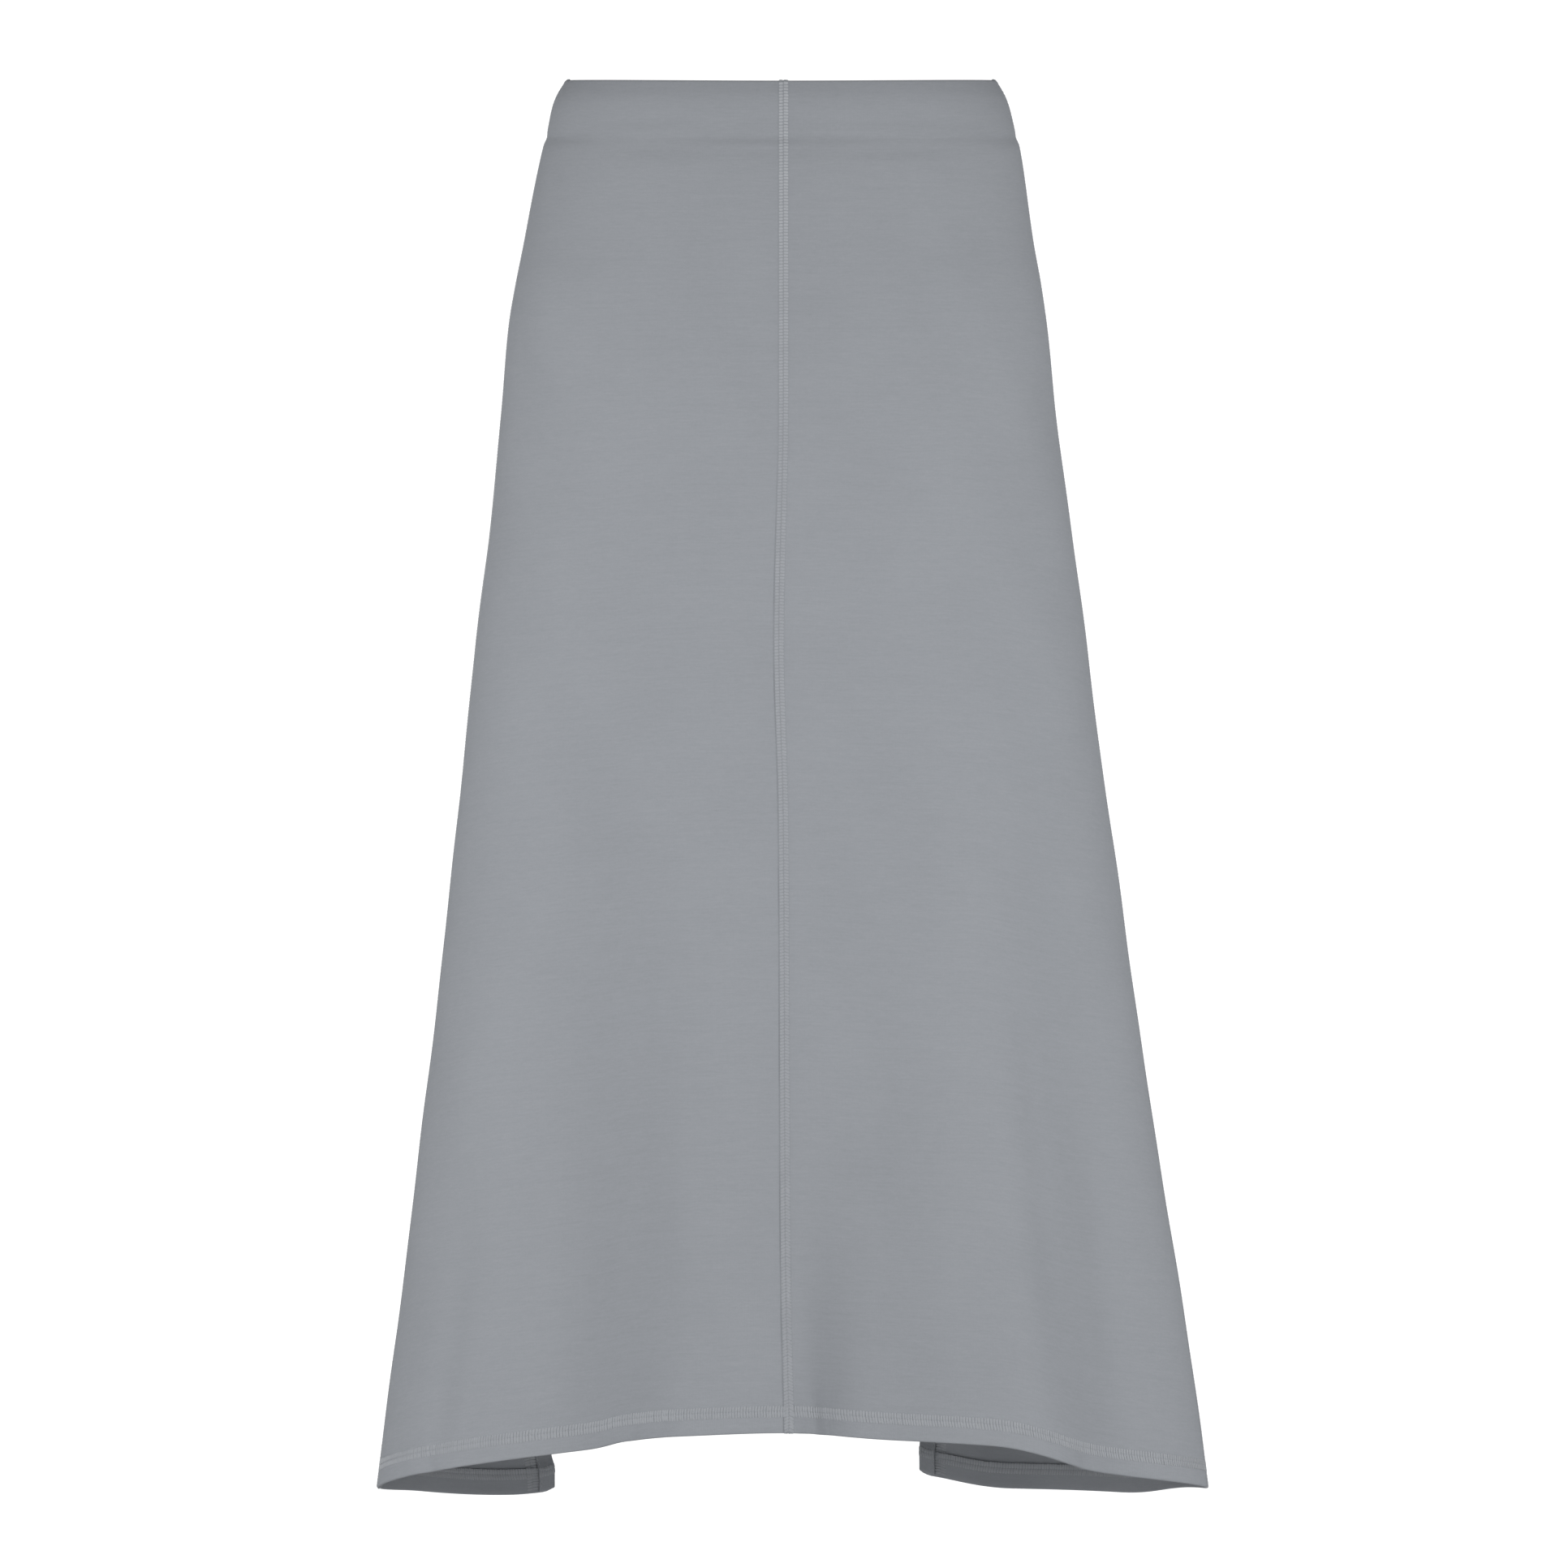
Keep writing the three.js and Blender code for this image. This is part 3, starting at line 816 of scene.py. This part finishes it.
def seamBand(seam, inner):
    first, last = seamSpan(seam, inner)
    bendWays = np.concatenate([-np.linspace(0, waistArc, sheetRows["bend"]),
                               np.arange(*flatSeam["crease"])])
    if not inner and not seam.end:
        hemWays = outsideLength(seam.fall()) + np.linspace(0, hemArc, sheetRows["bend"])
        bendWays = np.concatenate([bendWays, hemWays])
    evenWays = np.arange(first, last, flatSeam["grid"])
    ways = np.unique(np.round(np.concatenate([evenWays, [last], bendWays]), 3))
    ways = ways[(ways >= first) & (ways <= last)][:, None]
    left, right, middle = flatSeam["left"], flatSeam["right"], flatSeam["split"]
    top, sunk = halfCloth + flatSeam["band"], flatSeam["sunk"]
    side, shoulder, groove = flatSeam["side"], flatSeam["shoulder"], flatSeam["groove"]
    rounded = top - flatSeam["rounding"]
    profile = np.array([
        (left, halfCloth - sunk), (left + side, rounded), (left + shoulder, top), (middle - groove, top),
        (middle, top - sunk), (middle + groove, top), (right - shoulder, top), (right - side, rounded),
        (right, halfCloth - sunk), (middle, halfCloth - flatSeam["under"])])
    sign = -1.0 if inner else 1.0
    points = seam.place(profile[:, 0] + 0 * ways, ways + 0 * profile[:, 0], sign * profile[:, 1] + 0 * ways)
    around = len(profile)
    faces = tubeFaces(len(ways), around)
    faces += [tuple(range(around)), tuple(range((len(ways) - 1) * around, len(ways) * around))[::-1]]
    return points.reshape(-1, 3), faces


def seamRungs(seam, inner):
    first, last = seamSpan(seam, inner)
    start = flatSeam["shortOfEdge"]
    count = int((last - first - 2 * start) / flatSeam["pitch"])
    way = first + start + np.arange(count) * flatSeam["pitch"]
    way = way + chance.normal(0, flatSeam["waver"], count)
    grown = smoothStep(way, flatSeam["slantFrom"], flatSeam["slantTo"])
    slant = flatSeam["slantAtTop"] + (flatSeam["slantAtHem"] - flatSeam["slantAtTop"]) * grown
    slant = slant * (1 + chance.normal(0, flatSeam["slantWaver"], count))
    left = flatSeam["left"] + flatSeam["inset"] + chance.normal(0, flatSeam["endWaver"], count)
    right = flatSeam["right"] - flatSeam["inset"] + chance.normal(0, flatSeam["endWaver"], count)
    middle = flatSeam["split"] + 0 * way
    beforeSplit, afterSplit = flatSeam["gap"]
    lower = way - flatSeam["step"]
    sign = -1.0 if inner else 1.0
    base = sign * (halfCloth + flatSeam["band"] + flatSeam["rungLift"])
    return [strokeCopies(starts, ends, flatSeam["rungWidth"], sign * flatSeam["rungHeight"], base,
                         seam.place, inner)
            for starts, ends in (((left, way + slant * flatSeam["leftSlant"]), (middle - beforeSplit, way)),
                                 ((middle + afterSplit, lower), (right, lower + slant)))]


def flatSeamPieces(seam):
    # The face that shows comes first, and then the one inside
    band = joinParts(seam.name + "_band", [seamBand(seam, False), seamBand(seam, True)])
    rungs = joinParts(seam.name + "_thread", seamRungs(seam, False) + seamRungs(seam, True))
    return [band, rungs]


# The hem stitching: short upright strokes above slanting ones, on both faces

hemStitch = {"start": 15.1, "middle": 12.1, "end": 8.8, "pitch": 1.55, "slant": 0.75,
             "width": 1.55, "height": 0.24, "lift": 0.12, "fromEdge": 1.5, "rowHeight": 12.0,
             "shortOfEdge": 0.4, "underStrip": 1}
stitchWaver = {"along": 0.05, "ends": 0.08}


def stitchLines(first, last, look):
    # Where the stitches of a row start, bend and end: distances along the row and across it
    count = int((last - first) / look["pitch"])
    along = first + (np.arange(count) + 0.5) * (last - first) / count
    along = along + chance.normal(0, stitchWaver["along"], count)
    start = look["start"] + chance.normal(0, stitchWaver["ends"], count)
    end = look["end"] + chance.normal(0, stitchWaver["ends"], count)
    return [(along, start), (along, look["middle"] + 0 * along), (along + look["slant"], end)]


def stitches(lines, lift, place, mirrored=False):
    # Two strokes for each stitch
    return [strokeCopies(starts, ends, hemStitch["width"], hemStitch["height"],
                         halfCloth + lift, place, mirrored)
            for starts, ends in zip(lines, lines[1:])]


def hemStitching(panel):
    outside = outsideLength(length)
    reach = float(panel.total(length - hemStitch["rowHeight"])) - edge

    def onFace(across, above, lift):
        # Over the whole width, and at the vent round its fold and back along the strip
        way = outside + cloth["hemCentre"] - above
        if panel.ventSide is None:
            return panel.place(across, way, lift)
        centre = ventFoldDepth(pathAt(way, length, lift)[0])
        past = across - (reach - centre)
        arc = math.pi * (centre - halfCloth)
        bend = np.clip(past / arc, 0, 1) * math.pi
        return panel.place(None, way, lift, np.maximum(-past, 0), bend, np.maximum(past - arc, 0))

    def onTurnUp(across, above, lift):
        way = outside + hemArc + above - cloth["hemCentre"]
        if panel.ventSide is None:
            return panel.place(across, way, lift)
        centre = ventFoldDepth(pathAt(way, length, lift)[0])
        return panel.place(None, way, lift, np.maximum(reach - centre - across, 0))

    first, last, inside = edge + hemStitch["fromEdge"], reach, reach - hemStitch["fromEdge"]
    if panel.ventSide is not None:
        fold = math.pi * (cloth["ventFoldAtHem"] - halfCloth)
        last += fold + cloth["ventTurnIn"] - 2 * cloth["ventFoldAtHem"] - hemStitch["shortOfEdge"]
        inside = reach - cloth["ventTurnIn"] + hemStitch["underStrip"]
    parts = stitches(stitchLines(first, last, hemStitch), hemStitch["lift"], onFace)
    parts += stitches(stitchLines(first, inside, hemStitch), hemStitch["lift"], onTurnUp)
    return joinParts("hem_stitching_" + panel.name, parts)


# The vent stitching: a row of the same stitches down each turned-in edge, on both faces,
# and a thread along the raw edge inside

ventStitch = {"start": 9.9, "middle": 13.0, "end": 16.3, "pitch": 1.6, "slant": 0.7,
              "lift": 0.03, "belowTop": 2.0, "aboveHem": 2.2,
              "turnUpStep": 1, "stripStep": (0.6, 1.0)}
edgeThread = {"place": 8.9, "pitch": 2.6, "share": 0.86, "width": 0.6, "height": 0.34,
              "lift": 0.05, "start": 1}


def ventStitching(panel):
    first, last = shape["ventTop"] + ventStitch["belowTop"], length - ventStitch["aboveHem"]

    def onFace(fromFold, nominal, lift):
        inward = fromFold - ventFoldDepth(nominal)
        return panel.place(None, nominal - cloth["waistCentre"], lift, inward)

    def onInside(fromFold, nominal, lift):
        # The single cloth, the turned-in strip and the turn-up where the hem is double
        turnUp, step = cloth["hemTurnUp"], ventStitch["turnUpStep"]
        strip, (before, after) = cloth["ventTurnIn"], ventStitch["stripStep"]
        atHem = 1 - smoothStep(length - nominal, turnUp - step, turnUp + step)
        onStrip = 1 - smoothStep(fromFold, strip - before, strip + after)
        return onFace(fromFold, nominal, -lift - 2 * cloth["hemRadius"] * (atHem + onStrip))

    def alongStrip(fromFold, nominal, lift):
        back = fromFold - ventFoldDepth(nominal)
        return panel.place(None, nominal - cloth["waistCentre"], lift, 0.0, math.pi + 0 * nominal, back)

    lines = [(across, down) for down, across in stitchLines(first, last, ventStitch)]
    parts = stitches(lines, ventStitch["lift"], onFace)
    parts += stitches(lines, ventStitch["lift"], onInside, True)
    count = int((last - first) / edgeThread["pitch"])
    down = first + edgeThread["start"] + np.arange(count) * edgeThread["pitch"]
    line = edgeThread["place"] + 0 * down
    parts.append(strokeCopies((line, down), (line, down + edgeThread["pitch"] * edgeThread["share"]),
                              edgeThread["width"], edgeThread["height"],
                              halfCloth + edgeThread["lift"], alongStrip))
    return joinParts("vent_stitching_" + panel.name, parts)


# Materials


class Shade:
    # A socket of a material that sums can be written with

    def __init__(self, tree, socket=None):
        self.tree, self.socket = tree, socket

    def node(self, kind, settings=(), values=(), out=0):
        made = self.tree.nodes.new(kind)
        for name, setting in dict(settings).items():
            setattr(made, name, setting)
        for name, value in dict(values).items():
            if isinstance(value, Shade):
                self.tree.links.new(value.socket, made.inputs[name])
            else:
                made.inputs[name].default_value = value
        return Shade(self.tree, made.outputs[out])

    def maths(self, operation, first, second=0.0):
        return self.node("ShaderNodeMath", {"operation": operation}, {0: first, 1: second})

    def parts(self):
        # X, Y and Z of a vector
        split = self.node("ShaderNodeSeparateXYZ", (), {"Vector": self}).socket.node
        return [Shade(self.tree, socket) for socket in split.outputs]

    def __add__(self, other):
        return self.maths("ADD", self, other)

    def __sub__(self, other):
        return self.maths("SUBTRACT", self, other)

    def __rsub__(self, other):
        return self.maths("SUBTRACT", other, self)

    def __mul__(self, other):
        return self.maths("MULTIPLY", self, other)

    def __truediv__(self, other):
        return self.maths("DIVIDE", self, other)

    __radd__ = __add__
    __rmul__ = __mul__


def sine(value):
    return value.maths("SINE", value)


def smoothBetween(value, low, high):
    return value.node("ShaderNodeMapRange", {"interpolation_type": "SMOOTHSTEP"},
                      {"Value": value, "From Min": low, "From Max": high, "To Min": 0.0, "To Max": 1.0})


def newMaterial(name):
    material = bpy.data.materials.new(name)
    material.use_nodes = True
    return material, Shade(material.node_tree)


def setSurface(material, values, links=()):
    surface = material.node_tree.nodes["Principled BSDF"].inputs
    for name, value in values.items():
        surface[name].default_value = value
    for name, shade in dict(links).items():
        material.node_tree.links.new(shade.socket, surface[name])
    return material


def mixColours(factor, first, second, clamped=False):
    return factor.node("ShaderNodeMix", {"data_type": "RGBA", "clamp_factor": clamped},
                       {0: factor, 6: first, 7: second}, 2)


def blend(parts, shares):
    return sum(parts[name] * share for name, share in shares.items())


def bumpOf(height, look):
    return height.node("ShaderNodeBump", (), {"Strength": look[0], "Distance": look[1], "Height": height})


def mapOf(shade, layer):
    # The two distances of a uv map, in metres
    return shade.node("ShaderNodeUVMap", {"uv_map": layer}).parts()[:2]


def noiseOn(x, y, look):
    # Noise with its size across the cloth and along it, its detail and its seed
    acrossSize, alongSize, detail, seed = look
    at = x.node("ShaderNodeCombineXYZ", (), {"X": x / acrossSize, "Y": y / alongSize, "Z": seed})
    return x.node("ShaderNodeTexNoise", {"noise_dimensions": "3D"},
                  {"Vector": at, "Scale": 1.0, "Detail": detail, "Roughness": 0.55})


def wavesAlong(value, pitch):
    return sine(value * (2 * math.pi / pitch)) * 0.5 + 0.5


jersey = {
    "dark": (0.214, 0.225, 0.242, 1),
    "light": (0.252, 0.264, 0.283, 1),
    "paintedFoldShade": 0.55,  # how much darker the painted shade makes the cloth in the hollow of a fold and on a side turned away
    "wale": 0.0008,  # width of one wale of the knit
    "course": 0.0006,
    "drift": (0.012, 0.03, 2.0, 0.0), "waleDrift": 0.0006, "courseDrift": 0.0002,
    # The uneven yarn, and what each part of it and of the knit adds to the tone and the height
    "yarn": {"slubs": (0.0065, 0.0010, 3.0, 3.1), "longSlubs": (0.026, 0.0019, 2.0, 8.4),
             "clouds": (0.045, 0.06, 2.0, 5.7), "fibres": (0.0011, 0.0011, 2.0, 1.3)},
    "tone": {"slubs": 0.75, "longSlubs": 0.5, "clouds": 0.35, "fibres": 0.6, "wales": 0.06, "courses": 0.04},
    "toneBase": 0.66,
    "height": {"wales": 0.25, "courses": 0.15, "fibres": 0.6, "slubs": 0.5, "needle": -3.0},
    "bump": (0.35, 0.00012),  # strength and distance
    "surface": {"Roughness": 0.93, "Specular IOR Level": 0.08, "Sheen Weight": 0.02, "Sheen Roughness": 0.3},
}

# The needle line beside a seam's band, dark needle holes together with painted shade where the cloth is
# drawn in beside the raised band: where it lies from the seam, its dots, where it grows stronger down the
# skirt, and how uneven it is
needleLineAndShade = {
    "colour": (0.12, 0.128, 0.138, 1), "strength": 0.6,
    "from": (0.0022, 0.0027), "to": (0.0028, 0.0035),
    "pitch": 0.00175, "dots": (-0.7, 0.5), "dotShare": 0.25,
    "down": (0.16, 0.36), "lowerShare": 0.75,
    "uneven": (0.4, 0.05, 1.0, 9.2), "unevenRange": (0.3, 0.7), "unevenShare": 0.6,
}


def needleAndShadeMask(x, y, fromSeam):
    look = needleLineAndShade
    line = smoothBetween(fromSeam, *look["from"]) * (1 - smoothBetween(fromSeam, *look["to"]))
    dots = smoothBetween(sine(y * (2 * math.pi / look["pitch"])), *look["dots"])
    lower = smoothBetween(0 - y, *look["down"])
    uneven = smoothBetween(noiseOn(x, y, look["uneven"]), *look["unevenRange"])
    for part, share in ((dots, "dotShare"), (uneven, "unevenShare"), (lower, "lowerShare")):
        line = line * (part * look[share] + (1 - look[share]))
    return line


def jerseyMaterial():
    material, shade = newMaterial("jersey")
    x, y = mapOf(shade, "cloth")
    # The knit: wales run down the cloth and courses across it, both a little uneven
    parts = {name: noiseOn(x, y, look) for name, look in jersey["yarn"].items()}
    drift = noiseOn(x, y, jersey["drift"])
    parts["wales"] = wavesAlong(x + drift * jersey["waleDrift"], jersey["wale"])
    parts["courses"] = wavesAlong(y + parts["wales"] * jersey["courseDrift"], jersey["course"])
    # Painted shade: the cloth's colour is darkened in the hollows of folds and on sides turned away from the
    # lamps, and lightened on ridges
    folded = shade.node("ShaderNodeAttribute", {"attribute_name": "paintedFoldShade"}, (), 2)
    tone = blend(parts, jersey["tone"]) - jersey["toneBase"] - folded * jersey["paintedFoldShade"]
    # Beside one edge of a seam's band the cloth is drawn in along the dotted needle line, and its colour is
    # darkened there by the needle holes and by painted shade
    parts["needle"] = needleAndShadeMask(x, y, mapOf(shade, "seams")[1])
    colour = mixColours(parts["needle"] * needleLineAndShade["strength"],
                        mixColours(tone, jersey["dark"], jersey["light"]), needleLineAndShade["colour"], True)
    bump = bumpOf(blend(parts, jersey["height"]), jersey["bump"])
    return setSurface(material, jersey["surface"], {"Base Color": colour, "Normal": bump})


threadLook = {
    "dark": (0.220, 0.231, 0.248, 1),
    "light": (0.290, 0.302, 0.320, 1),
    "band": (0.210, 0.221, 0.238, 1),
    "hemDark": (0.232, 0.244, 0.262, 1),
    "hemLight": (0.292, 0.304, 0.322, 1),
    "fluff": {"Scale": 900.0, "Detail": 3.0},
    "patches": {"Scale": 70.0, "Detail": 2.0},
    "top": (-0.25, 0.05),  # between these heights the thread gets paler
    "tone": {"fluff": 0.7, "patches": 0.6, "top": 0.85},
    "toneBase": 0.15,
    "bump": (0.5, 0.00008),
    "surface": {"Roughness": 0.85, "Specular IOR Level": 0.25, "Sheen Weight": 0.2, "Sheen Roughness": 0.4},
}


def threadMaterial(name, dark, light):
    material, shade = newMaterial(name)
    place = shade.node("ShaderNodeTexCoord", out=3)
    parts = {part: shade.node("ShaderNodeTexNoise", (), {"Vector": place, **threadLook[part]})
             for part in ("fluff", "patches")}
    parts["top"] = smoothBetween(place.parts()[2], *threadLook["top"])
    colour = mixColours(blend(parts, threadLook["tone"]) - threadLook["toneBase"], dark, light)
    bump = bumpOf(parts["fluff"], threadLook["bump"])
    return setSurface(material, threadLook["surface"], {"Base Color": colour, "Normal": bump})


def elasticMaterial():
    material, shade = newMaterial("elastic")
    x, y = mapOf(shade, "cloth")
    parts = {"warps": wavesAlong(x, elastic["warp"]), "wefts": wavesAlong(y, elastic["weft"]),
             "fluff": noiseOn(x, y, elastic["fluff"])}
    colour = mixColours(blend(parts, elastic["tone"]), elastic["dark"], elastic["light"], True)
    bump = bumpOf(blend(parts, elastic["height"]), elastic["bump"])
    return setSurface(material, elastic["surface"], {"Base Color": colour, "Normal": bump})


# Building the skirt

jerseyCloth = jerseyMaterial()
stitchThread = threadMaterial("stitch thread", threadLook["dark"], threadLook["light"])
bandThread = threadMaterial("seam band", threadLook["band"], threadLook["dark"])
hemThread = threadMaterial("hem thread", threadLook["hemDark"], threadLook["hemLight"])


def finishPiece(piece, material, node=None):
    piece.data.materials.clear()
    piece.data.materials.append(material)
    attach(piece, "root")
    if node:
        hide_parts(node)


# The panel that each seam's band and thread go with
seamOwners = ("front_left", "front_right", "back_left", "back_right")

threadOf = {panel.name: [] for panel in panels}
for seam, owner in zip(seams, seamOwners):
    for piece, look in zip(flatSeamPieces(seam), (bandThread, stitchThread)):
        finishPiece(piece, look)
        threadOf[owner].append(piece)
for panel in panels:
    made = [hemStitching(panel)]
    if panel.ventSide:
        made.append(ventStitching(panel))
    for piece in made:
        finishPiece(piece, hemThread)
        threadOf[panel.name].append(piece)
print("seams and stitching done")

for panel in panels:
    piece = panelSheet(panel)
    finishPiece(piece, jerseyCloth, panel.name)
print("panels done")

band = waistElastic()
finishPiece(band, elasticMaterial(), "waist_elastic")
print("elastic done")


# Floor, light and camera

studio = {
    "floor": {"height": -1.06, "radius": 3.4, "sides": 96, "colour": (0.9, 0.9, 0.9, 1)},
    "roughness": 0.9,
    "world": 1.12,
    "overhead": 0.42, "overheadRange": (0.18, 0.85),  # the world's light from above
    "flags": 0.9,  # how much light is kept off on both sides behind the skirt
    "flagAside": (0.2, 0.5), "flagBehind": (0.2, 0.6),
    "frontSoftbox": {"place": (0.5, -1.0, -0.27), "size": 0.9, "power": 3.5},  # one on each side
    "sideSoftbox": {"place": (1.55, -0.28, -0.27), "size": 0.9, "power": 6.2},
    "topFlag": {"place": (0, -0.12, 0.36), "size": 1.3, "colour": (0.12, 0.12, 0.12, 1)},
}

view = {
    "place": (0.00046, -4.8, -0.6),
    "aim": (0.00046, 0.0, -0.4010),
    "sensor": 36.0,
    "lens": 194.6,
}


def pointTowards(thing, target):
    direction = np.array(target) - np.array(thing.location)
    distance = np.linalg.norm(direction)
    thing.rotation_euler = (math.acos(-direction[2] / distance), 0,
                            math.atan2(direction[1], direction[0]) - math.pi / 2)


def stagePiece(name, materialName, colour):
    # The primitive that has just been added, as a matt piece of the studio
    piece = bpy.context.object
    piece.name = name
    material, _shade = newMaterial(materialName)
    setSurface(material, {"Base Color": colour, "Roughness": studio["roughness"]})
    piece.data.materials.append(material)
    return piece


def topFlag():
    # A dark card above the waist, which the camera does not see
    kind = studio["topFlag"]
    bpy.ops.object.select_all(action="DESELECT")
    bpy.ops.mesh.primitive_plane_add(size=kind["size"], location=kind["place"])
    stagePiece("top_flag", "dark flag", kind["colour"]).visible_camera = False


def paleFloor():
    kind = studio["floor"]
    bpy.ops.object.select_all(action="DESELECT")
    bpy.ops.mesh.primitive_circle_add(vertices=kind["sides"], radius=kind["radius"], fill_type="NGON",
                                      location=(0, 0, kind["height"]))
    stagePiece("pale_floor", "pale floor", kind["colour"])


def softbox(name, side, kind):
    lamp = bpy.data.lights.new(name, "AREA")
    lamp.shape = "SQUARE"
    lamp.size, lamp.energy = kind["size"], kind["power"]
    light = bpy.data.objects.new(name, lamp)
    x, y, z = kind["place"]
    light.location = (side * x, y, z)
    light.visible_camera = False
    bpy.context.collection.objects.link(light)
    pointTowards(light, (0, 0, z))


def softLight():
    world = bpy.data.worlds.new("studio")
    world.use_nodes = True
    shade = Shade(world.node_tree)
    across, behind, upward = shade.node("ShaderNodeTexCoord").parts()
    above = smoothBetween(upward, *studio["overheadRange"])
    aside = smoothBetween(across.maths("ABSOLUTE", across), *studio["flagAside"])
    flagged = aside * smoothBetween(behind, *studio["flagBehind"])
    strength = (1 - above * (1 - studio["overhead"])) * (1 - flagged * studio["flags"]) * studio["world"]
    background = world.node_tree.nodes["Background"]
    background.inputs["Color"].default_value = (1, 1, 1, 1)
    world.node_tree.links.new(strength.socket, background.inputs["Strength"])
    bpy.context.scene.world = world
    for name, side in (("left", -1), ("right", 1)):
        softbox("front_softbox_" + name, side, studio["frontSoftbox"])
        softbox("side_softbox_" + name, side, studio["sideSoftbox"])


def photoCamera():
    data = bpy.data.cameras.new("photo_camera")
    data.sensor_width, data.lens = view["sensor"], view["lens"]
    data.clip_start, data.clip_end = 0.05, 60
    camera = bpy.data.objects.new("photo_camera", data)
    camera.location = view["place"]
    bpy.context.collection.objects.link(camera)
    pointTowards(camera, view["aim"])
    bpy.context.scene.camera = camera


paleFloor()
topFlag()
softLight()
photoCamera()
bpy.context.scene.view_settings.view_transform = "Standard"
print("studio done")

bpy.context.view_layer.update()
